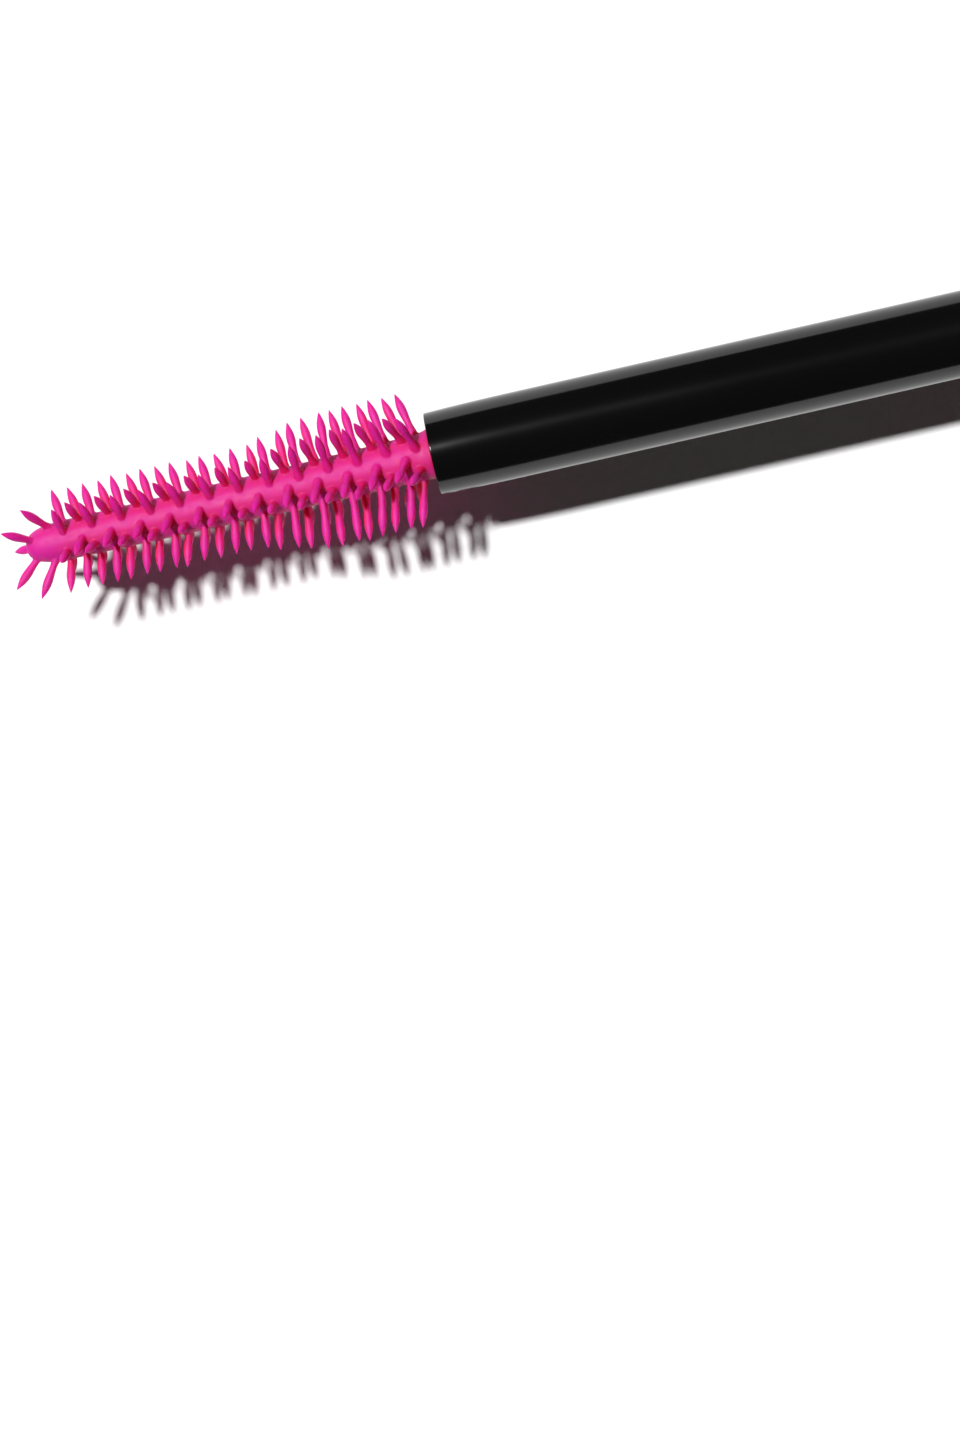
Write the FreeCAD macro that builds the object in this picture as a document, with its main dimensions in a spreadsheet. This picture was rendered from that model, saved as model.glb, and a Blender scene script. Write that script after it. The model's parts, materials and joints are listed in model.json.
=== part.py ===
import FreeCAD, Part
import Sketcher
import math
import os
import re

# A mascara lying drawn out on a table: the bottle on the left with its mouth facing +X, and the
# cap with its stem and brush on the right, the brush pointing back at the mouth. Everything turned
# shares one axis, which runs along X at the height of the cap's radius.
#
# Tube pieces are drawn from the closed end of the tube, at x = 0, towards the mouth. Wand pieces
# are drawn from the rim of the cap, at x = 0, with the cap on the +X side and the brush on the -X
# side. The sheet holds every driving size in millimetres and degrees.

SIZES = {
    # outside of the tube and the cap
    "case_radius": 8.5,
    "trim_radius": 8.35,
    "fit_gap": 0.05,
    "edge_round": 0.5,
    "edge_break": 0.2,
    # tube
    "sleeve_length": 68.0,
    "sleeve_wall": 1.25,
    "plug_depth": 3.0,
    "plug_recess": 0.8,
    "plug_recess_radius": 5.6,
    "label_radius": 5.2,
    "label_thickness": 0.2,
    "collar_thickness": 1.8,
    # bottle
    "bottle_radius": 7.2,
    "bottle_bore": 5.9,
    "bottle_floor": 1.4,
    "shoulder_drop": 4.0,
    "shoulder_slope": 1.6,
    "neck_radius": 5.8,
    "neck_bore": 4.65,
    "neck_length": 14.0,
    "neck_bead": 0.35,
    "neck_bead_width": 0.8,
    "neck_bead_place": 2.6,
    # thread: three ribs on the neck, three lugs in the cap
    "thread_starts": 3,
    "rib_place": 6.6,
    "rib_width": 1.4,
    "rib_crest_width": 0.7,
    "rib_rise": 0.6,
    "rib_root": 0.1,
    "rib_sweep": 75.0,
    "lug_sweep": 30.0,
    "lug_clearance": 0.25,
    "thread_lead": 4.0,
    "twist_range": 60.0,
    # wiper
    "wiper_wall": 0.4,
    "wiper_flange_radius": 5.5,
    "wiper_flange": 0.4,
    "wiper_length": 12.4,
    "wiper_funnel": 2.6,
    "wiper_orifice": 2.5,
    # formula
    "formula_depth": 46.0,
    "formula_floor": 2.0,
    "formula_channel": 4.35,
    # cap
    "cap_length": 42.0,
    "cap_bore": 7.45,
    "cap_inner_depth": 22.6,
    "cap_top_bore": 6.8,
    "cap_top_seat": 1.9,
    "cap_top_seat_radius": 7.4,
    "trim_width": 2.0,
    "inner_cap_start": 0.6,
    "inner_cap_bore": 6.6,
    "inner_cap_wall_place": 13.5,
    "inner_cap_wall": 1.5,
    "inner_cap_boss": 4.6,
    "inner_cap_length": 22.5,
    "weight_radius": 6.7,
    "weight_start": 23.2,
    "weight_length": 13.0,
    "top_disc_thickness": 1.8,
    "top_disc_dish": 0.35,
    "seal_thickness": 0.9,
    "seal_inner_radius": 3.2,
    "seal_outer_radius": 6.3,
    # stem
    "stem_radius": 2.4,
    "stem_tip_radius": 2.33,
    "stem_taper": 4.5,
    "stem_length": 38.0,
    "stem_tip_round": 0.16,
    "stem_head_radius": 3.3,
    "stem_head_length": 6.0,
    "stem_socket_radius": 1.12,
    "stem_socket_depth": 7.0,
    # brush
    "brush_collar_radius": 1.49,
    "brush_collar_width": 0.55,
    "brush_collar_gap": 0.02,
    "brush_core_root": 1.32,
    "brush_core_tip": 1.12,
    "brush_core_length": 21.0,
    "brush_nose_length": 2.2,
    "brush_pin_radius": 1.09,
    "brush_pin_length": 6.5,
    "spike_first": 0.73,
    "spike_pair_pitch": 1.70,
    "spike_pair_offset": 0.69,
    "spike_pairs": 13,
    "spike_rows": 6,
    "spike_row_turn": 41.0,
    "spike_foot_spread": 15.0,
    "spike_tip_spread": 3.0,
    "spike_foot_depth": 0.25,
    "spike_reach_wide": 3.93,
    "spike_reach_narrow": 3.03,
    "spike_waist_start": 6.0,
    "spike_waist_end": 11.0,
    "spike_lean": 9.0,
    "spike_last_lean": 34.0,
    "spike_foot": 0.14,
    "spike_belly": 0.23,
    "spike_belly_place": 0.6,
    "spike_point": 0.05,
    "crown_spikes": 3,
    "crown_place": 22.7,
    "crown_reach": 2.0,
    "crown_lean": 48.0,
    # the gap under the rim when the cap is home, and how far the wand lies drawn out from there
    "home_gap": 0.2,
    "draw": 90.0,
}

doc = FreeCAD.newDocument("mascara")
sheet = doc.addObject("Spreadsheet::Sheet", "Sizes")
for row, (alias, value) in enumerate(SIZES.items(), start=1):
    sheet.set(f"A{row}", alias)
    sheet.set(f"B{row}", str(value))
    sheet.setAlias(f"B{row}", alias)
doc.recompute()

BODIES = []


def ref(text):
    """Turns 'case_radius - fit_gap' into an expression on the sheet's cells."""
    return re.sub(r"[a-z_]+", lambda word: "Sizes." + word.group(), text)


def size(text):
    """The present value of an expression on the sheet."""
    return float(sheet.evalExpression(ref(text)))


def origin_plane(body, role):
    return next(item for item in body.Origin.OriginFeatures if item.Role == role)


def new_body(name):
    body = doc.addObject("PartDesign::Body", name)
    body.Label = name
    BODIES.append(body)
    return body


def outline(body, name, corners):
    """A closed sketch on the plane through the axis. Each corner is (place along the axis, radius),
    both given as expressions, and every corner is held by two dimensions bound to the sheet."""
    sketch = body.newObject("Sketcher::SketchObject", name)
    sketch.AttachmentSupport = (origin_plane(body, "XY_Plane"), [""])
    sketch.MapMode = "FlatFace"
    points = [FreeCAD.Vector(size(along), size(radius), 0) for along, radius in corners]
    count = len(points)
    for index in range(count):
        sketch.addGeometry(Part.LineSegment(points[index], points[(index + 1) % count]))
    for index in range(count):
        sketch.addConstraint(Sketcher.Constraint("Coincident", index, 2, (index + 1) % count, 1))
    for index, (along, radius) in enumerate(corners):
        for kind, value, text in (
            ("DistanceX", points[index].x, along),
            ("DistanceY", points[index].y, radius),
        ):
            number = sketch.addConstraint(Sketcher.Constraint(kind, -1, 1, index, 1, value))
            sketch.setExpression(f"Constraints[{number}]", ref(text))
    return sketch


def turned(body, name, corners):
    """A solid turned about the axis from an outline."""
    sketch = outline(body, name + "_outline", corners)
    solid = body.newObject("PartDesign::Revolution", name)
    solid.Profile = sketch
    solid.ReferenceAxis = (sketch, ["H_Axis"])
    solid.Angle = 360
    doc.recompute()
    return solid


def circles(feature, along, radius):
    """Names of the feature's circular edges at one place along the axis with one radius."""
    found = []
    for number, edge in enumerate(feature.Shape.Edges, start=1):
        curve = edge.Curve
        if not isinstance(curve, Part.Circle):
            continue
        if abs(curve.Center.x - size(along)) < 1e-4 and abs(curve.Radius - size(radius)) < 1e-4:
            found.append(f"Edge{number}")
    if not found:
        raise RuntimeError(f"no round edge of {feature.Name} at {along}, {radius}")
    return found


def softened(body, name, base, edges, amount, kind="Fillet"):
    """Rounds or bevels the round edges, each given as (place along the axis, radius)."""
    names = []
    for along, radius in edges:
        names += circles(base, along, radius)
    dress = body.newObject("PartDesign::" + kind, name)
    dress.Base = (base, names)
    dress.setExpression("Radius" if kind == "Fillet" else "Size", ref(amount))
    doc.recompute()
    return dress


def thread(body, name, corners, sweep):
    """Equal lengths of a right-hand thread, as many as the thread has starts."""
    sketch = outline(body, name + "_outline", corners)
    rib = body.newObject("PartDesign::AdditiveHelix", name)
    rib.Profile = sketch
    rib.ReferenceAxis = (sketch, ["H_Axis"])
    rib.Mode = "height-turns-angle"
    rib.setExpression("Turns", ref(f"{sweep} / 360"))
    rib.setExpression("Height", ref(f"thread_lead * {sweep} / 360"))
    rib.Reversed = True
    doc.recompute()
    ring = body.newObject("PartDesign::PolarPattern", name + "_ring")
    ring.Originals = [rib]
    ring.Axis = (origin_plane(body, "X_Axis"), [""])
    ring.Angle = 360
    ring.setExpression("Occurrences", ref("thread_starts"))
    body.Tip = ring
    doc.recompute()
    return ring


# ---------------------------------------------------------------------------------------------
# Tube: sleeve, base plug, blank label, bottle, collar, wiper and formula
# ---------------------------------------------------------------------------------------------


def outer_sleeve():
    body = new_body("outer_sleeve")
    bore = "case_radius - sleeve_wall"
    tube = turned(body, "sleeve", [
        ("0", bore),
        ("0", "case_radius"),
        ("sleeve_length", "case_radius"),
        ("sleeve_length", bore),
    ])
    softened(body, "sleeve_round", tube, [("0", "case_radius")], "edge_round")
    return body


def base_plug():
    """Closes the sleeve under the bottle. Its shallow recess keeps the label off the table."""
    body = new_body("base_plug")
    outside = "case_radius - sleeve_wall - fit_gap"
    disc = turned(body, "plug", [
        ("plug_recess", "0"),
        ("plug_recess", "plug_recess_radius"),
        ("0", "plug_recess_radius"),
        ("0", outside),
        ("plug_depth", outside),
        ("plug_depth", "0"),
    ])
    softened(body, "plug_bevel", disc, [("0", "plug_recess_radius")], "edge_break", "Chamfer")
    return body


def base_label():
    """A blank round sticker, stuck to the floor of the plug's recess."""
    body = new_body("base_label")
    turned(body, "label", [
        ("plug_recess - label_thickness", "0"),
        ("plug_recess - label_thickness", "label_radius"),
        ("plug_recess", "label_radius"),
        ("plug_recess", "0"),
    ])
    return body


def bottle():
    """The moulded bottle: a straight body, a shoulder, and a neck with a bead and thread ribs."""
    body = new_body("bottle")
    low = "plug_depth + fit_gap"
    mouth = "sleeve_length + neck_length"
    bead_low = "sleeve_length + neck_bead_place"
    bead_high = "sleeve_length + neck_bead_place + neck_bead_width"
    wall = turned(body, "bottle_wall", [
        (low, "0"),
        (low, "bottle_radius"),
        ("sleeve_length", "bottle_radius"),
        ("sleeve_length", "neck_radius"),
        (bead_low, "neck_radius"),
        (bead_low, "neck_radius + neck_bead"),
        (bead_high, "neck_radius + neck_bead"),
        (bead_high, "neck_radius"),
        (mouth, "neck_radius"),
        (mouth, "neck_bore"),
        ("sleeve_length - shoulder_drop + shoulder_slope", "neck_bore"),
        ("sleeve_length - shoulder_drop", "bottle_bore"),
        (low + " + bottle_floor", "bottle_bore"),
        (low + " + bottle_floor", "0"),
    ])
    softened(body, "bottle_heel", wall, [(low, "bottle_radius")], "edge_round")
    middle = "sleeve_length + rib_place"
    thread(body, "rib", [
        (middle, "neck_radius - rib_root"),
        (middle + " + rib_width", "neck_radius - rib_root"),
        (middle + " + rib_width / 2 + rib_crest_width / 2", "neck_radius + rib_rise"),
        (middle + " + rib_width / 2 - rib_crest_width / 2", "neck_radius + rib_rise"),
    ], "rib_sweep")
    return body


def shoulder_collar():
    """The bright ring that covers the end of the sleeve and the bottle's shoulder."""
    body = new_body("shoulder_collar")
    low = "sleeve_length + fit_gap"
    high = "sleeve_length + collar_thickness"
    ring = turned(body, "collar", [
        (low, "neck_radius + fit_gap"),
        (low, "trim_radius"),
        (high, "trim_radius"),
        (high, "neck_radius + fit_gap"),
    ])
    softened(body, "collar_bevel", ring, [(high, "trim_radius")], "edge_break", "Chamfer")
    return body


def wiper():
    """The soft insert in the neck. Its funnel ends in the small hole that wipes the stem."""
    body = new_body("wiper")
    mouth = "sleeve_length + neck_length"
    outside = "neck_bore - fit_gap"
    funnel = mouth + " - wiper_length"
    turned(body, "wiper_wall", [
        (funnel, "wiper_orifice"),
        (funnel, "wiper_orifice + wiper_wall"),
        (funnel + " + wiper_funnel", outside),
        (mouth, outside),
        (mouth, "wiper_flange_radius"),
        (mouth + " + wiper_flange", "wiper_flange_radius"),
        (mouth + " + wiper_flange", outside + " - wiper_wall"),
        (funnel + " + wiper_funnel", outside + " - wiper_wall"),
    ])
    return body


def formula():
    """The mascara in the bottle, with the hollow that the brush leaves in it."""
    body = new_body("formula")
    floor = "plug_depth + bottle_floor + fit_gap * 2"
    turned(body, "formula_mass", [
        (floor, "0"),
        (floor, "bottle_bore - fit_gap"),
        (floor + " + formula_depth", "bottle_bore - fit_gap"),
        (floor + " + formula_depth", "formula_channel"),
        (floor + " + formula_floor", "formula_channel"),
        (floor + " + formula_floor", "0"),
    ])
    return body


# ---------------------------------------------------------------------------------------------
# Wand: trim ring, cap shell, inner cap, weight, top disc, seal, stem and brush
# ---------------------------------------------------------------------------------------------


def trim_ring():
    """The bright ring at the rim of the cap."""
    body = new_body("trim_ring")
    ring = turned(body, "trim", [
        ("0", "cap_bore"),
        ("0", "trim_radius"),
        ("trim_width", "trim_radius"),
        ("trim_width", "cap_bore"),
    ])
    softened(body, "trim_bevel", ring, [("0", "trim_radius")], "edge_break", "Chamfer")
    return body


def cap_shell():
    """The outer shell of the cap. A ledge in it locates the inner cap, and a seat the top disc."""
    body = new_body("cap_shell")
    low = "trim_width + fit_gap"
    shell = turned(body, "shell", [
        (low, "cap_bore"),
        (low, "case_radius"),
        ("cap_length", "case_radius"),
        ("cap_length", "cap_top_seat_radius"),
        ("cap_length - cap_top_seat", "cap_top_seat_radius"),
        ("cap_length - cap_top_seat", "cap_top_bore"),
        ("cap_inner_depth", "cap_top_bore"),
        ("cap_inner_depth", "cap_bore"),
    ])
    softened(body, "shell_round", shell, [("cap_length", "case_radius")], "edge_round")
    return body


def inner_cap():
    """The threaded insert that screws on the neck and holds the head of the stem. Its lugs stand
    in the gaps between the neck's ribs until the cap is twisted home."""
    body = new_body("inner_cap")
    outside = "cap_bore - fit_gap"
    wall = "inner_cap_wall_place"
    turned(body, "inner_wall", [
        ("inner_cap_start", "inner_cap_bore"),
        ("inner_cap_start", outside),
        (wall + " + inner_cap_wall", outside),
        (wall + " + inner_cap_wall", "inner_cap_boss"),
        ("inner_cap_length", "inner_cap_boss"),
        ("inner_cap_length", "stem_head_radius + fit_gap"),
        (wall + " + inner_cap_wall", "stem_head_radius + fit_gap"),
        (wall + " + inner_cap_wall", "stem_radius + fit_gap"),
        (wall, "stem_radius + fit_gap"),
        (wall, "inner_cap_bore"),
    ])
    # with the cap home and twisted shut, each lug lies under the middle of a rib, on the same helix
    home_rim = "sleeve_length + collar_thickness + home_gap"
    lug_to_rib = "rib_sweep / 2 - lug_sweep / 2"
    flank_run = "rib_width / 2 - rib_crest_width / 2"
    flank_overlap = "neck_radius + 2 * rib_rise - inner_cap_bore"
    low = (
        f"sleeve_length + rib_place - ({home_rim}) - thread_lead * ({lug_to_rib}) / 360"
        f" - rib_width - lug_clearance + ({flank_run}) * (2 - ({flank_overlap}) / rib_rise)"
    )
    thread(body, "lug", [
        (f"{low} + {flank_run}", "inner_cap_bore - rib_rise"),
        (f"{low} + rib_width - ({flank_run})", "inner_cap_bore - rib_rise"),
        (f"{low} + rib_width", "inner_cap_bore + rib_root"),
        (low, "inner_cap_bore + rib_root"),
    ], "lug_sweep")
    return body


def cap_weight():
    """A steel slug that gives the cap its weight."""
    body = new_body("cap_weight")
    high = "weight_start + weight_length"
    slug = turned(body, "slug", [
        ("weight_start", "0"),
        ("weight_start", "weight_radius"),
        (high, "weight_radius"),
        (high, "0"),
    ])
    ends = [("weight_start", "weight_radius"), (high, "weight_radius")]
    softened(body, "slug_bevel", slug, ends, "edge_round", "Chamfer")
    return body


def cap_top_disc():
    """The bright disc let into the end of the cap, a little dished."""
    body = new_body("cap_top_disc")
    outside = "cap_top_seat_radius - fit_gap"
    low = "cap_length - cap_top_seat + fit_gap"
    high = low + " + top_disc_thickness"
    disc = turned(body, "disc", [
        (low, "0"),
        (low, outside),
        (high, outside),
        (high, outside + " - edge_round"),
        (high + " - top_disc_dish", outside + " - 2 * edge_round"),
        (high + " - top_disc_dish", "0"),
    ])
    softened(body, "disc_bevel", disc, [(high, outside)], "edge_break", "Chamfer")
    return body


def neck_seal():
    """The loose washer in the cap that is pressed on the bottle's mouth. The cap turns round it."""
    body = new_body("neck_seal")
    low = "inner_cap_wall_place - seal_thickness - 2 * fit_gap"
    turned(body, "washer", [
        (low, "seal_inner_radius"),
        (low, "seal_outer_radius"),
        (low + " + seal_thickness", "seal_outer_radius"),
        (low + " + seal_thickness", "seal_inner_radius"),
    ])
    return body


def stem():
    """The rod, drawn from its brush end: a socket for the brush, a slight taper, and the head that
    is held in the inner cap."""
    body = new_body("stem")
    head = "stem_length + inner_cap_wall_place + inner_cap_wall + fit_gap"
    rod = turned(body, "rod", [
        ("0", "stem_socket_radius"),
        ("0", "stem_tip_radius"),
        ("stem_taper", "stem_radius"),
        (head, "stem_radius"),
        (head, "stem_head_radius"),
        (head + " + stem_head_length", "stem_head_radius"),
        (head + " + stem_head_length", "0"),
        ("stem_socket_depth", "0"),
        ("stem_socket_depth", "stem_socket_radius"),
    ])
    softened(body, "rod_round", rod, [("0", "stem_tip_radius")], "stem_tip_round")
    return body


def spike_reach(place):
    """How far the spikes' points stand from the axis: wide near the stem, waisted to the tip."""
    start, end = size("spike_waist_start"), size("spike_waist_end")
    part = min(max((place - start) / (end - start), 0), 1)
    ease = part * part * (3 - 2 * part)
    wide, narrow = size("spike_reach_wide"), size("spike_reach_narrow")
    return wide + (narrow - wide) * ease


def core_radius(place):
    """The core narrows evenly to the start of its nose, which closes as a quarter ellipse."""
    length, nose = size("brush_core_length"), size("brush_nose_length")
    root, tip = size("brush_core_root"), size("brush_core_tip")
    if place <= length:
        return root + (tip - root) * place / length
    return tip * math.sqrt(max(1 - ((place - length) / nose) ** 2, 0))


def on_brush(place, radius, turn):
    """The point at a place along the brush and a radius from its axis, turned from +Z to +Y."""
    angle = math.radians(turn)
    return FreeCAD.Vector(-place, radius * math.sin(angle), radius * math.cos(angle))


def spike(place, reach, lean, row, spread):
    """One spike of a row, from its foot in the core to its point: thin, then fuller, then fine. It
    leans to the brush's tip, and its foot stands further from the row's line than its point."""
    near = core_radius(place) - size("spike_foot_depth")
    forward = (reach - near) * math.tan(math.radians(lean))
    turn = size("spike_row_turn") + row
    foot = on_brush(place, near, turn + spread * size("spike_foot_spread"))
    point = on_brush(place + forward, reach, turn + spread * size("spike_tip_spread"))
    length = foot.distanceToPoint(point)
    profile = Part.makePolygon([
        FreeCAD.Vector(0, 0, 0),
        FreeCAD.Vector(size("spike_foot"), 0, 0),
        FreeCAD.Vector(size("spike_belly"), 0, size("spike_belly_place") * length),
        FreeCAD.Vector(size("spike_point"), 0, length),
        FreeCAD.Vector(0, 0, length),
        FreeCAD.Vector(0, 0, 0),
    ])
    axis = FreeCAD.Vector(0, 0, 1)
    solid = Part.Face(profile).revolve(FreeCAD.Vector(), axis, 360)
    solid.Placement = FreeCAD.Placement(foot, FreeCAD.Rotation(axis, point - foot))
    return solid


def brush_core():
    """The core, its root collar and the pin that holds it in the stem."""
    length, nose = size("brush_core_length"), size("brush_nose_length")
    pin, collar, gap = size("brush_pin_radius"), size("brush_collar_radius"), size("brush_collar_gap")
    corners = [
        (size("brush_pin_length"), 0),
        (size("brush_pin_length"), pin),
        (-gap, pin),
        (-gap, collar),
        (-size("brush_collar_width"), collar),
        (-size("brush_collar_width"), core_radius(0)),
        (-length, core_radius(length)),
    ]
    points = [FreeCAD.Vector(along, radius, 0) for along, radius in corners]
    edges = [Part.LineSegment(a, b).toShape() for a, b in zip(points, points[1:])]
    centre = FreeCAD.Vector(-length, 0, 0)
    tip = FreeCAD.Vector(-length - nose, 0, 0)
    dome = Part.Ellipse(tip, points[-1], centre)
    edges.append(Part.ArcOfEllipse(dome, 0, math.pi / 2).toShape())
    edges.append(Part.LineSegment(tip, points[0]).toShape())
    wire = Part.Wire(Part.__sortEdges__(edges))
    return Part.Face(wire).revolve(FreeCAD.Vector(), FreeCAD.Vector(1, 0, 0), 360)


def brush():
    """The moulded brush, drawn from the end of the stem towards -X: pairs of rings of spikes whose
    points stand nearly in rows, the last ring leaning forward, and a small crown on the nose."""
    pairs, rows = int(size("spike_pairs")), int(size("spike_rows"))
    spikes = []
    for pair in range(pairs):
        for ring, spread in ((0, -1), (1, 1)):
            place = size("spike_first") + pair * size("spike_pair_pitch") + ring * size("spike_pair_offset")
            last = pair == pairs - 1 and ring == 1
            lean = size("spike_last_lean") if last else size("spike_lean")
            for number in range(rows):
                spikes.append(spike(place, spike_reach(place), lean, 360 / rows * number, spread))
    crown = int(size("crown_spikes"))
    for number in range(crown):
        row = 360 / crown * number
        spikes.append(spike(size("crown_place"), size("crown_reach"), size("crown_lean"), row, 0))
    feature = doc.addObject("Part::Feature", "brush")
    feature.Label = "brush"
    feature.Shape = brush_core().multiFuse(spikes)
    BODIES.append(feature)
    return feature


# ---------------------------------------------------------------------------------------------
# Placing the pieces on the common axis, and writing them out
# ---------------------------------------------------------------------------------------------


def place(feature, along, turn=0):
    """Puts a piece's own origin on the axis at a place along it, turned about the axis."""
    spot = FreeCAD.Vector(along, 0, size("case_radius"))
    feature.Placement = FreeCAD.Placement(spot, FreeCAD.Rotation(FreeCAD.Vector(1, 0, 0), turn))


def check(feature):
    """Stops if a piece or any feature in it failed, or if its shape isn't a valid solid."""
    for item in [feature] + list(getattr(feature, "Group", [])):
        if {"Invalid", "Error"} & set(item.State):
            raise RuntimeError(f"{item.Name} failed: {item.State}")
    shape = feature.Shape
    if shape.isNull() or not shape.isValid() or not shape.Solids:
        raise RuntimeError(f"{feature.Label} has no valid solid")


def main():
    home_rim = size("sleeve_length + collar_thickness + home_gap")
    rim = home_rim + size("draw")
    middle = (rim + size("cap_length")) / 2
    for make in (outer_sleeve, base_plug, base_label, bottle, shoulder_collar, wiper, formula):
        place(make(), -middle)
    for make in (trim_ring, cap_shell, cap_weight, cap_top_disc, neck_seal):
        place(make(), rim - middle)
    lug_turn = size("twist_range - rib_sweep / 2 + lug_sweep / 2")
    place(inner_cap(), rim - middle, lug_turn)
    for make in (stem, brush):
        place(make(), rim - middle - size("stem_length"))
    doc.recompute()
    os.makedirs("parts", exist_ok=True)
    for feature in BODIES:
        check(feature)
        feature.Shape.exportStep(f"parts/{feature.Label}.step")
        box = feature.Shape.BoundBox
        print(f"{feature.Label:16} {len(feature.Shape.Solids)} solid  {feature.Shape.Volume:9.1f} mm3 "
              f" x {box.XMin:7.2f} to {box.XMax:7.2f}  z {box.ZMin:6.2f} to {box.ZMax:6.2f}")


main()
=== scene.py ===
import json
import math
import random

import bmesh
import bpy
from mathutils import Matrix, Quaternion, Vector


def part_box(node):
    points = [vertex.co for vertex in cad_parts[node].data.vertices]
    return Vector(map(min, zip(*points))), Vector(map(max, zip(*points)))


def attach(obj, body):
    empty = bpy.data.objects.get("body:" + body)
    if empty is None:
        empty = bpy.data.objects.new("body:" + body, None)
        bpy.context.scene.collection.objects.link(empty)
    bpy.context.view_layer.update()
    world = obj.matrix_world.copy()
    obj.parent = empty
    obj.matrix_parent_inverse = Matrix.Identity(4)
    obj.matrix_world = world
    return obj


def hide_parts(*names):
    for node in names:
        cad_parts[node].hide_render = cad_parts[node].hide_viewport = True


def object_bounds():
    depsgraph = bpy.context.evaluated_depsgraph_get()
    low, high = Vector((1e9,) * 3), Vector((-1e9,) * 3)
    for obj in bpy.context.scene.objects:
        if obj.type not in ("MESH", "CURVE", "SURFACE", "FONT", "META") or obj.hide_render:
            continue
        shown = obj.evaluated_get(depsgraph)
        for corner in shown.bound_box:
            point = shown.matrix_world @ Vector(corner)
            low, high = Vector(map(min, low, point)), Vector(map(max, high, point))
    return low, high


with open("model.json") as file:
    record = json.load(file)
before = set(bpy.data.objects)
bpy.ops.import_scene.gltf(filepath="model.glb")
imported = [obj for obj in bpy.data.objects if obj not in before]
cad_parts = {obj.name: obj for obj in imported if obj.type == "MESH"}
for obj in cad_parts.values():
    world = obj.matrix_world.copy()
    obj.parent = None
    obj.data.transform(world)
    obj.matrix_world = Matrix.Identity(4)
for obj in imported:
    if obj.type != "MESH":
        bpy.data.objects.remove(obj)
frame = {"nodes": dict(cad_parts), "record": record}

# A mascara laid open: the tube at -X, and the wand drawn out of it along X, brush first. Fine turned
# and moulded meshes stand for the CAD nodes, apart from three that lie inside.

cad_low, cad_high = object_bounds()
MM = 0.001
TURNED_SIDES = 192

# The common axis of the tube and the wand runs along X at this height.
AXIS_Z = (cad_low.z + cad_high.z) / 2
STEM_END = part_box("stem")[0].x


# ---------------------------------------------------------------------------------------------
# Mesh helpers
# ---------------------------------------------------------------------------------------------


def new_piece(name, bm, material, smooth_angle=40):
    """An object from a bmesh, smooth except along edges sharper than the angle."""
    mesh = bpy.data.meshes.new(name)
    bm.to_mesh(mesh)
    bm.free()
    mesh.shade_smooth()
    mesh.set_sharp_from_angle(angle=math.radians(smooth_angle))
    mesh.materials.append(material)
    piece = bpy.data.objects.new(name, mesh)
    bpy.context.collection.objects.link(piece)
    return piece


def ring(bm, centre, side, up, radius, count):
    """A ring of vertices about a centre, in the plane of two directions."""
    made = []
    for index in range(count):
        turn = 2 * math.pi * index / count
        made.append(bm.verts.new(centre + radius * (math.cos(turn) * side + math.sin(turn) * up)))
    return made


def join_rings(bm, first, second):
    """Faces between two rings, either of which may be a single point."""
    count = max(len(first), len(second))
    for index in range(count):
        corners = []
        for loop, order in ((first, (index, index + 1)), (second, (index + 1, index))):
            corners += [loop[place % count] for place in order] if len(loop) > 1 else loop
        bm.faces.new(corners)


def lathe(bm, profile, count):
    """Turns a profile of (place along X, radius) about the common axis. A profile that starts on the
    axis ends there too; any other is closed into a tube."""
    side, up = Vector((0, 1, 0)), Vector((0, 0, 1))
    rings = []
    for along, radius in profile:
        centre = Vector((along, 0, AXIS_Z))
        rings.append([bm.verts.new(centre)] if radius == 0 else ring(bm, centre, side, up, radius, count))
    for first, second in zip(rings, rings[1:]):
        join_rings(bm, first, second)
    if len(rings[0]) > 1:
        join_rings(bm, rings[-1], rings[0])
    bmesh.ops.recalc_face_normals(bm, faces=bm.faces)


def rounded(corners, steps=6):
    """A profile from corners (place along X, radius, round), all in metres; a round of 0 is sharp."""
    points = []
    for index, (along, radius, amount) in enumerate(corners):
        corner = Vector((along, radius))
        if amount == 0:
            points.append(corner)
            continue
        before = (Vector(corners[index - 1][:2]) - corner).normalized()
        after = (Vector(corners[(index + 1) % len(corners)][:2]) - corner).normalized()
        half = before.angle(after) / 2
        centre = corner + (before + after).normalized() * amount / math.sin(half)
        start = corner + before * amount / math.tan(half) - centre
        end = corner + after * amount / math.tan(half) - centre
        sweep = start.angle(end)
        for step in range(steps + 1):
            turn = sweep * step / steps
            point = (start * math.sin(sweep - turn) + end * math.sin(turn)) / math.sin(sweep)
            points.append(centre + point)
    return points


def fused(bm, grain, rounds, share):
    """One closed skin over a bmesh's overlapping shapes, as if moulded in one piece. Its grain is in
    millimetres, rounds soften its inner corners, and share is how much of its mesh is kept."""
    bmesh.ops.scale(bm, vec=(1 / MM, 1 / MM, 1 / MM), verts=bm.verts)
    mesh = bpy.data.meshes.new("loose")
    bm.to_mesh(mesh)
    bm.free()
    loose = bpy.data.objects.new("loose", mesh)
    bpy.context.collection.objects.link(loose)
    skin = loose.modifiers.new("skin", "REMESH")
    skin.mode = "VOXEL"
    skin.voxel_size = grain
    soften = loose.modifiers.new("soften", "SMOOTH")
    soften.iterations = rounds
    thin = loose.modifiers.new("thin", "DECIMATE")
    thin.ratio = share
    made = bmesh.new()
    made.from_object(loose, bpy.context.evaluated_depsgraph_get())
    bmesh.ops.scale(made, vec=(MM, MM, MM), verts=made.verts)
    bpy.data.objects.remove(loose)
    bpy.data.meshes.remove(mesh)
    return made


# ---------------------------------------------------------------------------------------------
# Materials
# ---------------------------------------------------------------------------------------------


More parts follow.
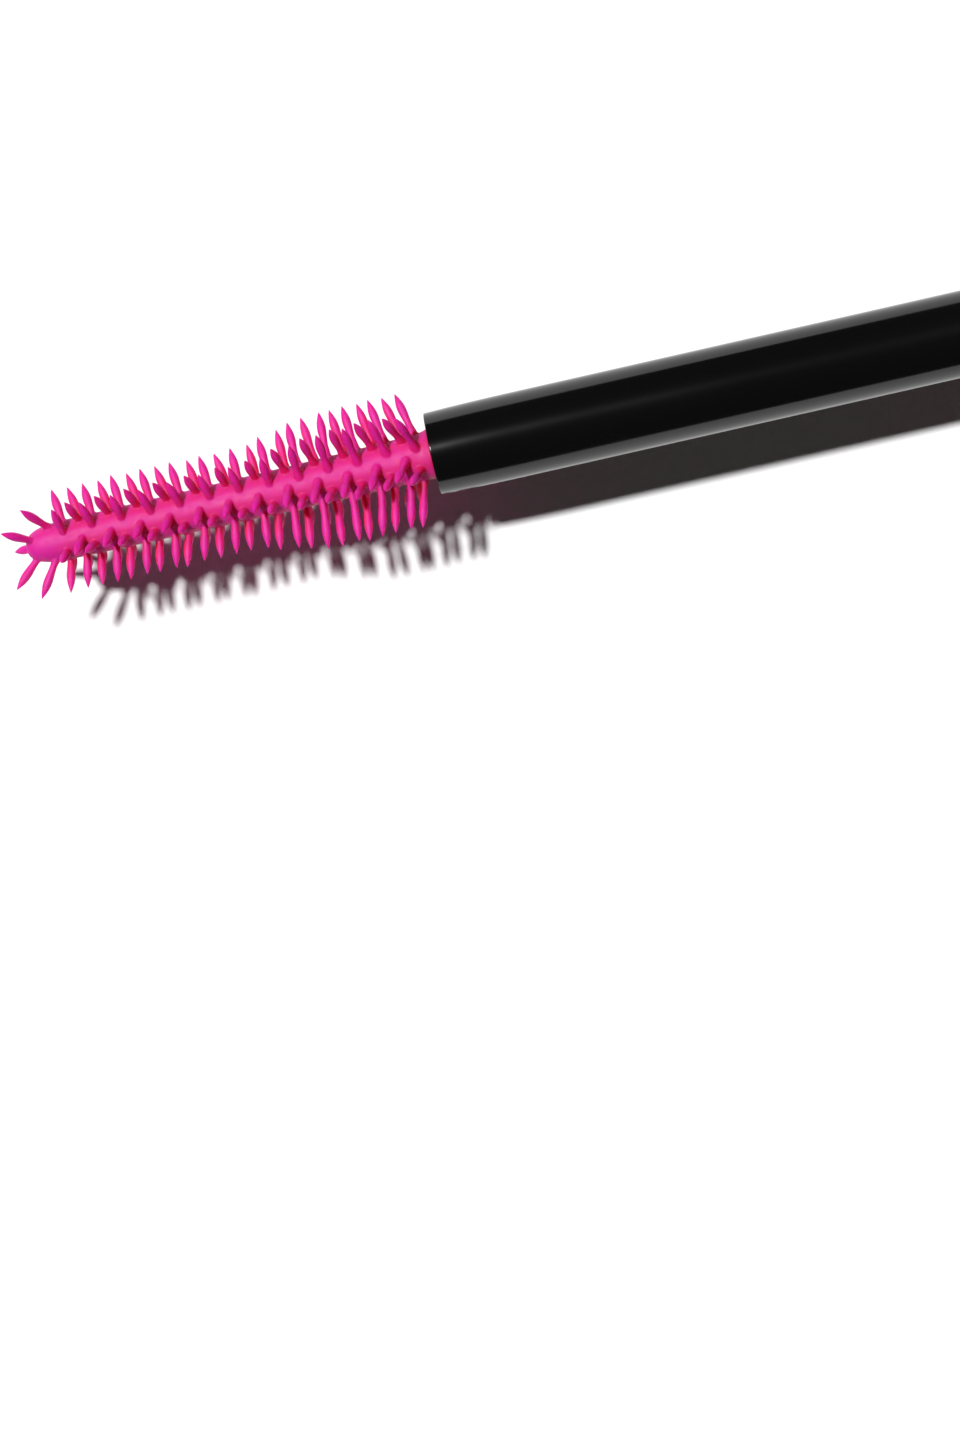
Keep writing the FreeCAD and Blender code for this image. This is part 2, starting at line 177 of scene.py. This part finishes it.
class Nodes:
    """A new material's node tree, with short ways to add and join nodes."""

    def __init__(self, name, **inputs):
        self.material = bpy.data.materials.new(name)
        self.material.use_nodes = True
        self.tree = self.material.node_tree
        self.shader = self.tree.nodes["Principled BSDF"]
        self.place = self.add("ShaderNodeTexCoord").outputs["Object"]
        for key, value in inputs.items():
            self.shader.inputs[key.replace("_", " ")].default_value = value

    def add(self, kind, **settings):
        node = self.tree.nodes.new(kind)
        for key, value in settings.items():
            if key in node.inputs:
                node.inputs[key].default_value = value
            else:
                setattr(node, key, value)
        return node

    def join(self, output, target):
        self.tree.links.new(output, target)

    def noise(self, scale, detail=3.0, stretch=(1, 1, 1)):
        mapping = self.add("ShaderNodeMapping")
        mapping.inputs["Scale"].default_value = stretch
        self.join(self.place, mapping.inputs["Vector"])
        noise = self.add("ShaderNodeTexNoise", Scale=scale, Detail=detail)
        self.join(mapping.outputs["Vector"], noise.inputs["Vector"])
        return noise.outputs["Fac"]

    def turned(self, scale):
        """Fine lines that go round the common axis, on ends as well as on sides."""
        cut = self.add("ShaderNodeSeparateXYZ")
        self.join(self.place, cut.inputs["Vector"])
        across = self.add("ShaderNodeCombineXYZ")
        self.join(cut.outputs["Y"], across.inputs["X"])
        self.join(cut.outputs["Z"], across.inputs["Y"])
        radius = self.add("ShaderNodeVectorMath", operation="DISTANCE")
        radius.inputs[1].default_value = (0, AXIS_Z, 0)
        self.join(across.outputs["Vector"], radius.inputs[0])
        spot = self.add("ShaderNodeCombineXYZ")
        self.join(cut.outputs["X"], spot.inputs["X"])
        self.join(radius.outputs["Value"], spot.inputs["Y"])
        noise = self.add("ShaderNodeTexNoise", Scale=scale, Detail=2.0)
        self.join(spot.outputs["Vector"], noise.inputs["Vector"])
        return noise.outputs["Fac"]

    def spread(self, value, low, high, start=0.3, end=0.7):
        node = self.add("ShaderNodeMapRange")
        for name, number in (("From Min", start), ("From Max", end), ("To Min", low), ("To Max", high)):
            node.inputs[name].default_value = number
        self.join(value, node.inputs["Value"])
        return node.outputs["Result"]

    def colours(self, value, first, second):
        """A mix of two colours; either may be another node's output."""
        node = self.add("ShaderNodeMix", data_type="RGBA")
        sockets = [socket for socket in node.inputs if socket.type == "RGBA"]
        for socket, colour in zip(sockets, (first, second)):
            if isinstance(colour, bpy.types.NodeSocket):
                self.join(colour, socket)
            else:
                socket.default_value = (*colour, 1)
        self.join(value, node.inputs["Factor"])
        return next(socket for socket in node.outputs if socket.type == "RGBA")

    def bump(self, height, strength, distance):
        node = self.add("ShaderNodeBump", Strength=strength, Distance=distance)
        self.join(height, node.inputs["Height"])
        self.join(node.outputs["Normal"], self.shader.inputs["Normal"])


def gloss_black(name, shade, rough):
    """Polished black: a faint unevenness in the gloss and the last trace of moulding flow."""
    made = Nodes(name, IOR=1.5)
    blotch = made.noise(90.0, 4.0, (0.35, 1, 1))
    made.join(made.colours(blotch, shade, [1.5 * part for part in shade]), made.shader.inputs["Base Color"])
    made.join(made.spread(blotch, 0.75 * rough, 1.3 * rough), made.shader.inputs["Roughness"])
    made.bump(made.noise(260.0, 2.0, (0.3, 1, 1)), 0.02, 0.0002)
    return made.material


def satin_black(name, shade, rough):
    """Moulded black with a fine spark-eroded grain."""
    made = Nodes(name, IOR=1.48)
    made.join(made.colours(made.noise(400.0), shade, [1.25 * part for part in shade]),
              made.shader.inputs["Base Color"])
    made.join(made.spread(made.noise(1500.0), 0.8 * rough, 1.2 * rough), made.shader.inputs["Roughness"])
    made.bump(made.noise(6000.0, 2.0), 0.12, 0.00003)
    return made.material


def brush_pink():
    """Hot-pink elastomer, a little translucent, with painted shade: its base colour turns deep red in the
    nooks between the spikes, standing in for light that has passed through it or off it more than once."""
    made = Nodes("brush_pink", IOR=1.47, Subsurface_Weight=0.8, Subsurface_Scale=0.0010,
                 Subsurface_Radius=(1.0, 0.04, 0.16))
    pink = made.colours(made.noise(700.0), (0.560, 0.003, 0.262), (0.605, 0.006, 0.300))
    # painted shade: where ambient occlusion finds nooks between the spikes, the base colour is mixed
    # towards deep red
    nook_shade_ao = made.add("ShaderNodeAmbientOcclusion", Distance=0.0016, samples=8)
    unshaded_share = made.spread(nook_shade_ao.outputs["AO"], 0, 1, 0.30, 0.90)
    made.join(made.colours(unshaded_share, (0.58, 0.001, 0.035), pink), made.shader.inputs["Base Color"])
    made.join(made.spread(made.noise(2500.0), 0.56, 0.71), made.shader.inputs["Roughness"])
    made.bump(made.noise(4200.0, 2.0), 0.10, 0.00004)
    return made.material


def pink_metal():
    """Pink anodised aluminium with fine turned lines round the axis."""
    made = Nodes("pink_metal", Metallic=1.0)
    lines = made.turned(9000.0)
    made.join(made.colours(made.noise(300.0), (0.66, 0.030, 0.235), (0.74, 0.050, 0.285)),
              made.shader.inputs["Base Color"])
    made.join(made.spread(lines, 0.16, 0.34), made.shader.inputs["Roughness"])
    made.bump(lines, 0.12, 0.00002)
    return made.material


def turned_steel():
    made = Nodes("weight_steel", Metallic=1.0)
    lines = made.turned(5000.0)
    made.join(made.colours(lines, (0.46, 0.46, 0.47), (0.60, 0.60, 0.61)), made.shader.inputs["Base Color"])
    made.join(made.spread(lines, 0.24, 0.42), made.shader.inputs["Roughness"])
    made.bump(lines, 0.15, 0.00003)
    return made.material


def soft_white(name, first, second, rough, grain):
    """A pale soft plastic, foam or coated paper with a fine grain."""
    made = Nodes(name, IOR=1.45, Subsurface_Weight=0.15, Subsurface_Scale=0.0005)
    made.join(made.colours(made.noise(grain / 4), first, second), made.shader.inputs["Base Color"])
    made.join(made.spread(made.noise(grain), 0.85 * rough, 1.1 * rough), made.shader.inputs["Roughness"])
    made.bump(made.noise(grain, 3.0), 0.10, 0.00003)
    return made.material


def formula_brown():
    """The wet dark brown cream, with soft lumps and streaks drawn along the bottle."""
    made = Nodes("formula_brown", IOR=1.46, Coat_Weight=0.4, Coat_Roughness=0.12)
    streaks = made.noise(700.0, 4.0, (0.15, 1, 1))
    made.join(made.colours(streaks, (0.016, 0.007, 0.006), (0.040, 0.018, 0.015)),
              made.shader.inputs["Base Color"])
    made.join(made.spread(streaks, 0.18, 0.42), made.shader.inputs["Roughness"])
    made.bump(streaks, 0.5, 0.0002)
    return made.material


def floor_white():
    """Plain pale card."""
    made = Nodes("floor_white", IOR=1.4, Roughness=0.85)
    made.shader.inputs["Specular IOR Level"].default_value = 0.1
    made.join(made.colours(made.noise(60.0), (0.84, 0.84, 0.84), (0.85, 0.85, 0.85)),
              made.shader.inputs["Base Color"])
    return made.material


# ---------------------------------------------------------------------------------------------
# The stem
# ---------------------------------------------------------------------------------------------

STEM_RADIUS = 2.40 * MM
STEM_TIP_RADIUS = 2.33 * MM
STEM_TAPER = 4.5 * MM
STEM_TAPER_STEPS = 8
STEM_ROUND = 0.05 * MM
STEM_SOCKET_RADIUS = 1.12 * MM
STEM_SOCKET_DEPTH = 7.0 * MM
STEM_HEAD_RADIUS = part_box("stem")[1].z - AXIS_Z
STEM_HEAD_LENGTH = 6.0 * MM
STEM_HEAD_ROUND = 0.1 * MM


def build_stem(material):
    """The rod, from its socket round its brush end to the head that the inner cap holds."""
    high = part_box("stem")[1].x
    head = high - STEM_HEAD_LENGTH
    floor = STEM_END + STEM_SOCKET_DEPTH
    corners = [(floor, 0, 0), (floor, STEM_SOCKET_RADIUS, 0), (STEM_END, STEM_SOCKET_RADIUS, STEM_ROUND),
               (STEM_END, STEM_TIP_RADIUS, STEM_ROUND)]
    # the taper eases into the straight rod; its first step is short, so that the edge shades crisply
    for step in range(STEM_TAPER_STEPS + 1):
        part = max(step / STEM_TAPER_STEPS, 0.01)
        ease = 1 - (1 - part) ** 2
        corners.append((STEM_END + STEM_ROUND + part * (STEM_TAPER - STEM_ROUND),
                        STEM_TIP_RADIUS + ease * (STEM_RADIUS - STEM_TIP_RADIUS), 0))
    corners += [(head, STEM_RADIUS, 0), (head, STEM_HEAD_RADIUS, STEM_HEAD_ROUND),
                (high, STEM_HEAD_RADIUS, STEM_HEAD_ROUND), (high, 0, 0)]
    bm = bmesh.new()
    lathe(bm, rounded(corners), TURNED_SIDES)
    piece = new_piece("stem_rod", bm, material, 30)
    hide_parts("stem")
    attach(piece, "wand")


# ---------------------------------------------------------------------------------------------
# The brush
# ---------------------------------------------------------------------------------------------

FLARE_RADIUS = 1.46 * MM    # where the core meets the stem
FLARE_LENGTH = 0.8 * MM
FLARE_STEPS = 8
CORE_ROOT = 1.32 * MM
CORE_TIP = 1.12 * MM
CORE_LENGTH = 21.0 * MM
CORE_STEPS = 24
NOSE_LENGTH = 2.5 * MM
NOSE_BLUNT = 2.6            # 2 would make the nose an ellipse
NOSE_STEPS = 12
PIN_LENGTH = 0.35 * MM      # as much of the pin in the stem's socket as the skin needs
ROOT_GAP = 0.02 * MM        # between the end of the stem and the flare
SAG = 0.17 * MM             # how far the soft brush hangs aside of the axis
SAG_RUN = 5.0 * MM
FIRST_RING = 0.73 * MM
PAIR_PITCH = 1.70 * MM
PAIR_OFFSET = 0.69 * MM
PAIRS = 13
ROWS = 6
ROW_TURN = 38.5             # degrees from straight up to the first row of points, towards +Y
FOOT_SPREAD = 20.0
TIP_SPREAD = 1.5
FOOT_DEPTH = 0.25 * MM
REACH_WIDE = 3.95 * MM
REACH_NARROW = 3.05 * MM
WAIST_START = 6.0 * MM
WAIST_END = 11.0 * MM
LEAN = 4.5
RING_LEAN = 1.75            # more in a pair's forward ring and less in the other
ROOT_LEAN = 12.0
ROOT_RUN = 5.0 * MM
FORE_LEAN = 5.5
FORE_START = 8.0 * MM
FORE_RUN = 6.0 * MM
LAST_LEAN = 33.0
CROWN_PLACE = 22.9 * MM
CROWN_REACH = 2.25 * MM
CROWN_LEAN = 45.0
CROWN_TURNS = (28.0, 178.0, 281.0)

# A spike's depth from its point and its radius there: a leaf, then a shank that is cut to length.
LEAF = [(0.02, 0.020), (0.20, 0.080), (0.42, 0.150), (0.66, 0.215), (0.92, 0.252), (1.18, 0.255),
        (1.45, 0.235), (1.75, 0.210), (2.05, 0.200)]
SHANK_FOOT = 0.300
SPIKE_SIDES = 16
CORE_SIDES = 96

# how unlike one another the spikes are: turn and lean in degrees, reach as a share
UNEVEN_TURN = 1.2
UNEVEN_REACH = 0.010
UNEVEN_LEAN = 1.6
SKIN_GRAIN = 0.05
SKIN_ROUNDS = 3
SKIN_SHARE = 0.28           # keeps the brush under 200,000 faces


def core_radius(place):
    if place <= CORE_LENGTH:
        return CORE_ROOT + (CORE_TIP - CORE_ROOT) * place / CORE_LENGTH
    part = min((place - CORE_LENGTH) / NOSE_LENGTH, 1)
    return CORE_TIP * (1 - part ** NOSE_BLUNT) ** (1 / NOSE_BLUNT)


def reach(place):
    part = min(max((place - WAIST_START) / (WAIST_END - WAIST_START), 0), 1)
    ease = part * part * (3 - 2 * part)
    return REACH_WIDE + (REACH_NARROW - REACH_WIDE) * ease


def lean(place):
    """How far the spikes lean towards the brush's tip: more near the stem and in the fore part."""
    root = ROOT_LEAN * max(1 - place / ROOT_RUN, 0)
    fore = FORE_LEAN * min(max((place - FORE_START) / FORE_RUN, 0), 1)
    return LEAN + root + fore


def on_brush(place, radius, turn):
    """The point at a place along the brush, a radius from its core's line, turned from straight up."""
    angle = math.radians(turn)
    aside = SAG * (1 - math.exp(-max(place, 0) / SAG_RUN))
    return Vector((STEM_END - place, radius * math.sin(angle) - aside, AXIS_Z + radius * math.cos(angle)))


def add_core(bm):
    """The core, flared where it meets the stem, with its pin in the stem's socket and a round nose."""
    pin = 0.9 * STEM_SOCKET_RADIUS
    profile = [(-PIN_LENGTH, 0), (-PIN_LENGTH, pin), (ROOT_GAP, pin), (ROOT_GAP, FLARE_RADIUS)]
    for step in range(1, FLARE_STEPS + 1):
        part = step / FLARE_STEPS
        place = FLARE_LENGTH * part
        profile.append((place, core_radius(place) + (1 - part) ** 2 * (FLARE_RADIUS - CORE_ROOT)))
    for step in range(1, CORE_STEPS + 1):
        place = FLARE_LENGTH + (CORE_LENGTH - FLARE_LENGTH) * step / CORE_STEPS
        profile.append((place, core_radius(place)))
    for step in range(1, NOSE_STEPS + 1):
        place = CORE_LENGTH + NOSE_LENGTH * math.sin(math.pi / 2 * step / NOSE_STEPS)
        profile.append((place, core_radius(place) if step < NOSE_STEPS else 0))
    last = None
    for place, radius in profile:
        count = 1 if radius == 0 else CORE_SIDES
        now = [bm.verts.new(on_brush(place, radius, 360 * index / count)) for index in range(count)]
        if last:
            join_rings(bm, last, now)
        last = now


def add_spike(bm, place, far, tilt, turn, spread):
    """A leaf on a shank, from a foot inside the core to a point that stands far from the axis and
    forward of the foot. In a row the feet stand to either side in turn, and the points nearly in line."""
    near = core_radius(place) - FOOT_DEPTH
    forward = (far - near) * math.tan(math.radians(tilt))
    foot = on_brush(place, near, turn + spread * FOOT_SPREAD)
    tip = on_brush(place + forward, far, turn + spread * TIP_SPREAD)
    down = (foot - tip).normalized()
    side = down.cross(Vector((1, 0, 0))).normalized()
    up = down.cross(side)
    length = (foot - tip).length
    shape = [(depth * MM, radius * MM) for depth, radius in LEAF if depth * MM < length - 0.1 * MM]
    shape.append((length, SHANK_FOOT * MM))
    last = [bm.verts.new(tip)]
    for depth, radius in shape:
        now = ring(bm, tip + depth * down, side, up, radius, SPIKE_SIDES)
        join_rings(bm, last, now)
        last = now
    bm.faces.new(last)


def build_brush(material):
    """The brush, moulded in one piece. Only every second row has a spike in the last ring."""
    chance = random.Random(11)
    bm = bmesh.new()
    add_core(bm)
    for pair in range(PAIRS):
        for second, spread in ((0, -1), (1, 1)):
            place = FIRST_RING + pair * PAIR_PITCH + second * PAIR_OFFSET
            end = pair == PAIRS - 1 and second
            for row in range(0, ROWS, 2 if end else 1):
                turn = ROW_TURN + 360 / ROWS * row + chance.gauss(0, UNEVEN_TURN)
                far = reach(place) * (1 + chance.gauss(0, UNEVEN_REACH))
                tilt = LAST_LEAN if end else lean(place) + spread * RING_LEAN
                add_spike(bm, place, far, tilt + chance.gauss(0, UNEVEN_LEAN), turn, spread)
    for turn in CROWN_TURNS:
        add_spike(bm, CROWN_PLACE, CROWN_REACH, CROWN_LEAN, turn, 0)
    bmesh.ops.recalc_face_normals(bm, faces=bm.faces)
    bm = fused(bm, SKIN_GRAIN, SKIN_ROUNDS, SKIN_SHARE)
    piece = new_piece("brush_moulding", bm, material, 180)
    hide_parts("brush")
    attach(piece, "wand")


# ---------------------------------------------------------------------------------------------
# The tube and the cap: their sizes are in millimetres
# ---------------------------------------------------------------------------------------------

# how round an edge is
CRISP = 0.05
FINE = 0.1
EASED = 0.12
SOFT = 0.2
FULL = 0.5

SLEEVE_BORE = 7.25
PLUG_RECESS = 0.8
PLUG_RECESS_RADIUS = 5.6
BOTTLE_BORE = 5.9
BOTTLE_FLOOR = 1.4
SHOULDER_DROP = 4.0
SHOULDER_SLOPE = 1.6
NECK_RADIUS = 5.8
NECK_BORE = 4.65
BEAD = 0.35
BEAD_WIDTH = 0.8
BEAD_PLACE = 2.6
RIB_PLACE = 6.6
RIB_WIDTH = 1.4
RIB_CREST = 0.7
RIB_RISE = 0.6
RIB_SWEEP = 75              # degrees
RIB_SUNK = 0.07             # how far a rib's foot lies under the neck's surface
RIB_FADE = 0.16             # the share of a rib's length over which each of its ends runs out
RIB_STEPS = 48
RIBS = 3
THREAD_LEAD = 4.0
# across a rib: a place from edge to edge, and a share of its rise; the crest is a little rounded
RIB_SHAPE = [(-1, -0.3), (-1, 0), (-1, 0.85), (-0.7, 1), (0.7, 1), (1, 0.85), (1, 0), (1, -0.3)]
WIPER_WALL = 0.4
WIPER_ORIFICE = 2.5
WIPER_FUNNEL = 2.6
CAP_BORE = 7.45
CAP_INNER_DEPTH = 22.6
CAP_TOP_BORE = 6.8
CAP_SEAT = 1.9
CAP_SEAT_RADIUS = 7.4
DISC_LIP = 0.5
DISC_DISH = 0.35
SEAL_BORE = 3.2
SLIP = 0.05                 # the room between pieces that fit each other


def span(node):
    """A turned node's ends along X and its outer radius, in millimetres."""
    low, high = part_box(node)
    return low.x / MM, high.x / MM, (high.z - AXIS_Z) / MM


def turned_piece(name, node, body, corners, slot, extra=None):
    """A turned piece that stands for a node, from corners (place along X, radius, round) in
    millimetres. What extra adds to it overlaps it."""
    bm = bmesh.new()
    lathe(bm, rounded([[number * MM for number in corner] for corner in corners]), TURNED_SIDES)
    if extra:
        extra(bm)
    piece = new_piece(name, bm, MATERIALS[slot], 35)
    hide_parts(node)
    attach(piece, body)


def build_tube():
    low, high, radius = span("outer_sleeve")
    turned_piece("sleeve_tube", "outer_sleeve", "tube", [
        (low, SLEEVE_BORE, CRISP), (low, radius, FULL), (high, radius, EASED), (high, SLEEVE_BORE, CRISP),
    ], "sleeve_black")
    low, high, radius = span("base_plug")
    floor = low + PLUG_RECESS
    turned_piece("plug_disc", "base_plug", "tube", [
        (floor, 0, 0), (floor, PLUG_RECESS_RADIUS, 0.15), (low, PLUG_RECESS_RADIUS, SOFT),
        (low, radius, EASED), (high, radius, FINE), (high, 0, 0),
    ], "plug_black")
    low, high, radius = span("base_label")
    turned_piece("label_disc", "base_label", "tube", [
        (low, 0, 0), (low, radius, 0.06), (high, radius, 0.02), (high, 0, 0),
    ], "label_white")
    low, high, radius = span("shoulder_collar")
    bore = NECK_RADIUS + SLIP
    turned_piece("collar_ring", "shoulder_collar", "tube", [
        (low, bore, CRISP), (low, radius, FINE), (high, radius, 0.22), (high, bore, EASED),
    ], "pink_metal")
    build_bottle()
    low, high, radius = span("wiper")
    outside = NECK_BORE - SLIP
    inside = outside - WIPER_WALL
    turned_piece("wiper_insert", "wiper", "tube", [
        (low, WIPER_ORIFICE, 0.15), (low, WIPER_ORIFICE + WIPER_WALL, 0.15),
        (low + WIPER_FUNNEL, outside, 0.8), (high - WIPER_WALL, outside, FINE),
        (high - WIPER_WALL, radius, FINE), (high, radius, 0.18), (high, inside, 0.3),
        (low + WIPER_FUNNEL, inside, 0.8),
    ], "wiper_soft")


def add_ribs(bm):
    """The neck's right-hand thread ribs. Each rises out of the neck and sinks back into it."""
    start = span("outer_sleeve")[1] + RIB_PLACE + RIB_WIDTH / 2
    for number in range(RIBS):
        last = None
        for step in range(RIB_STEPS + 1):
            part = step / RIB_STEPS
            back = RIB_SWEEP * (1 - part)
            angle = math.radians(360 / RIBS * number - back)
            middle = start - THREAD_LEAD * back / 360
            fade = min(part / RIB_FADE, (1 - part) / RIB_FADE, 1)
            rise = (RIB_RISE + RIB_SUNK) * fade * fade * (3 - 2 * fade)
            now = []
            for away, share in RIB_SHAPE:
                along = middle + away * (RIB_WIDTH if share <= 0 else RIB_CREST) / 2
                radius = NECK_RADIUS - RIB_SUNK + share * rise
                now.append(bm.verts.new((along * MM, radius * math.cos(angle) * MM,
                                         AXIS_Z + radius * math.sin(angle) * MM)))
            if last:
                join_rings(bm, last, now)
            else:
                bm.faces.new(now)
            last = now
        bm.faces.new(reversed(last))
    bmesh.ops.recalc_face_normals(bm, faces=bm.faces)


def build_bottle():
    low, mouth, radius = span("bottle")
    shoulder = span("outer_sleeve")[1]
    bead = shoulder + BEAD_PLACE
    slope = shoulder - SHOULDER_DROP
    floor = low + BOTTLE_FLOOR
    turned_piece("bottle_moulding", "bottle", "tube", [
        (low, 0, 0), (low, radius, FULL), (shoulder, radius, FINE), (shoulder, NECK_RADIUS, 0.02),
        (bead, NECK_RADIUS, 0.08), (bead, NECK_RADIUS + BEAD, EASED),
        (bead + BEAD_WIDTH, NECK_RADIUS + BEAD, EASED), (bead + BEAD_WIDTH, NECK_RADIUS, 0.08),
        (mouth, NECK_RADIUS, SOFT), (mouth, NECK_BORE, FINE), (slope + SHOULDER_SLOPE, NECK_BORE, 0.3),
        (slope, BOTTLE_BORE, 0.3), (floor, BOTTLE_BORE, FULL), (floor, 0, 0),
    ], "bottle_black", add_ribs)


def build_cap():
    low, high, radius = span("trim_ring")
    inner = low + CAP_INNER_DEPTH
    turned_piece("trim_band", "trim_ring", "wand", [
        (low, CAP_BORE, 0.15), (low, radius, 0.22), (high, radius, FINE), (high, CAP_BORE, CRISP),
    ], "pink_metal")
    low, high, radius = span("cap_shell")
    seat = high - CAP_SEAT
    turned_piece("cap_tube", "cap_shell", "wand", [
        (low, CAP_BORE, CRISP), (low, radius, EASED), (high, radius, FULL), (high, CAP_SEAT_RADIUS, EASED),
        (seat, CAP_SEAT_RADIUS, CRISP), (seat, CAP_TOP_BORE, CRISP), (inner, CAP_TOP_BORE, CRISP),
        (inner, CAP_BORE, CRISP),
    ], "cap_black")
    low, high, radius = span("cap_top_disc")
    turned_piece("cap_disc", "cap_top_disc", "wand", [
        (low, 0, 0), (low, radius, CRISP), (high, radius, 0.15), (high, radius - DISC_LIP, 0.15),
        (high - DISC_DISH, radius - 2 * DISC_LIP, 0.3), (high - DISC_DISH, 0, 0),
    ], "pink_metal")
    low, high, radius = span("neck_seal")
    turned_piece("seal_washer", "neck_seal", "seal", [
        (low, SEAL_BORE, SOFT), (low, radius, SOFT), (high, radius, SOFT), (high, SEAL_BORE, SOFT),
    ], "seal_white")


# ---------------------------------------------------------------------------------------------
# Floor, light and camera
# ---------------------------------------------------------------------------------------------


FLOOR_SIZE = 12.0   # metres


def build_floor():
    bm = bmesh.new()
    half = FLOOR_SIZE / 2
    for x, y in ((-half, -half), (half, -half), (half, half), (-half, half)):
        bm.verts.new((x, y, 0))
    bm.faces.new(bm.verts)
    floor = new_piece("floor", bm, floor_white())


SUN_ACROSS = 0.245  # how far a shadow is thrown across the wand, per unit of height
SUN_ALONG = 0.29    # and along it, away from the brush's tip
SUN_STRENGTH = 4.4
SUN_SPREAD = 3.5    # degrees
SUN_PLACE = 0.5     # metres from the middle; only its direction counts
ROOM_COLOUR = (1.0, 0.97, 0.92, 1)
ROOM_STRENGTH = 0.033
BACKDROP_STRENGTH = 0.9


def build_light():
    """One firm soft-edged light from above, past the brush's tip and the far side, and a dim room
    that looks pale behind the floor."""
    data = bpy.data.lights.new("key", "SUN")
    data.energy = SUN_STRENGTH
    data.angle = math.radians(SUN_SPREAD)
    key = bpy.data.objects.new("key", data)
    towards = Vector((SUN_ALONG, -SUN_ACROSS, -1)).normalized()
    key.rotation_mode = "QUATERNION"
    key.rotation_quaternion = towards.to_track_quat("-Z", "Y")
    key.location = -SUN_PLACE * towards
    bpy.context.collection.objects.link(key)
    world = bpy.data.worlds.new("room")
    world.use_nodes = True
    tree = world.node_tree
    room = tree.nodes["Background"]
    room.inputs["Color"].default_value = ROOM_COLOUR
    seen = tree.nodes.new("ShaderNodeMapRange")
    seen.inputs["To Min"].default_value = ROOM_STRENGTH
    seen.inputs["To Max"].default_value = BACKDROP_STRENGTH
    rays = tree.nodes.new("ShaderNodeLightPath")
    tree.links.new(rays.outputs["Is Camera Ray"], seen.inputs["Value"])
    tree.links.new(seen.outputs["Result"], room.inputs["Strength"])
    bpy.context.scene.world = world
    bpy.context.scene.view_settings.view_transform = "Standard"


VIEW_LENS = 120.0
VIEW_TURN = 12.6                       # degrees by which the wand rises to the right
VIEW_TILT = 2.8                        # degrees by which its brush end lies further away
VIEW_DISTANCE = 269.3 * MM             # from the common axis
VIEW_SHIFT = Vector((-0.65, -15.15, 0)) * MM   # from the stem's end to the middle of the view


def build_camera():
    """Looks nearly straight down, turned so that the wand rises to the right."""
    data = bpy.data.cameras.new("camera")
    data.lens = VIEW_LENS
    data.clip_start = 0.01
    camera = bpy.data.objects.new("camera", data)
    tilt = Quaternion((0, 1, 0), math.radians(VIEW_TILT))
    turn = Quaternion((0, 0, 1), -math.radians(VIEW_TURN))
    middle = Vector((STEM_END, 0, AXIS_Z)) + VIEW_SHIFT
    camera.location = middle + tilt @ Vector((0, 0, VIEW_DISTANCE))
    camera.rotation_mode = "QUATERNION"
    camera.rotation_quaternion = tilt @ turn
    bpy.context.collection.objects.link(camera)
    bpy.context.scene.camera = camera


# ---------------------------------------------------------------------------------------------
# Putting it together
# ---------------------------------------------------------------------------------------------

MATERIALS = {
    "stem_black": gloss_black("stem_black", (0.0018, 0.0018, 0.0020), 0.12),
    "cap_black": gloss_black("cap_black", (0.0040, 0.0040, 0.0042), 0.14),
    "sleeve_black": gloss_black("sleeve_black", (0.0050, 0.0050, 0.0052), 0.16),
    "plug_black": satin_black("plug_black", (0.012, 0.012, 0.012), 0.45),
    "bottle_black": satin_black("bottle_black", (0.010, 0.010, 0.010), 0.34),
    "inner_cap_black": satin_black("inner_cap_black", (0.012, 0.012, 0.012), 0.42),
    "brush_pink": brush_pink(),
    "pink_metal": pink_metal(),
    "weight_steel": turned_steel(),
    "wiper_soft": soft_white("wiper_soft", (0.72, 0.71, 0.68), (0.78, 0.77, 0.74), 0.38, 1800.0),
    "seal_white": soft_white("seal_white", (0.76, 0.76, 0.74), (0.82, 0.82, 0.80), 0.75, 3500.0),
    "label_white": soft_white("label_white", (0.78, 0.77, 0.75), (0.83, 0.82, 0.80), 0.55, 2600.0),
    "formula_brown": formula_brown(),
}

build_camera()
build_floor()
build_light()
build_stem(MATERIALS["stem_black"])
build_brush(MATERIALS["brush_pink"])
build_tube()
build_cap()
for subpart in frame["record"]["subparts"]:
    for held in frame["nodes"][subpart["node"]].material_slots:
        held.material = MATERIALS[subpart["material_slot"]]
